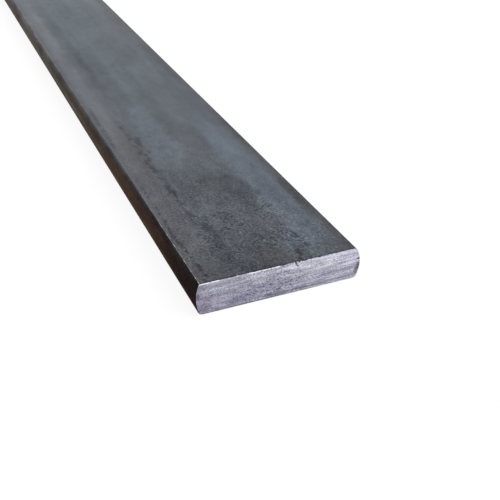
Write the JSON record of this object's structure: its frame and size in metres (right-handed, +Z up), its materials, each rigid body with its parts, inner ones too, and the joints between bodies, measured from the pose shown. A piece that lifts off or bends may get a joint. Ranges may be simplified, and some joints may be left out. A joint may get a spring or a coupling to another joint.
{
  "type": "steel flat bar",
  "caption": "Hot-rolled mild-steel flat bar of plain rectangular section, with crowned rolled edges and square sawn ends, for frames, brackets and straps.",
  "frame": {"origin": "middle of the underside, halfway along the bar and halfway across it", "axes": "+X along the bar towards the sawn end that the picture shows, +Y across its width, +Z up through its thickness"},
  "size_m": [1, 0.05, 0.01],
  "materials": {
    "mill_scale": "blue-grey mill scale on the flat faces, brown-black on the narrow edges, bright saw-cut steel on the ends"
  },
  "bodies": {
    "root": {"flat_bar": "mill_scale"}
  },
  "joints": []
}
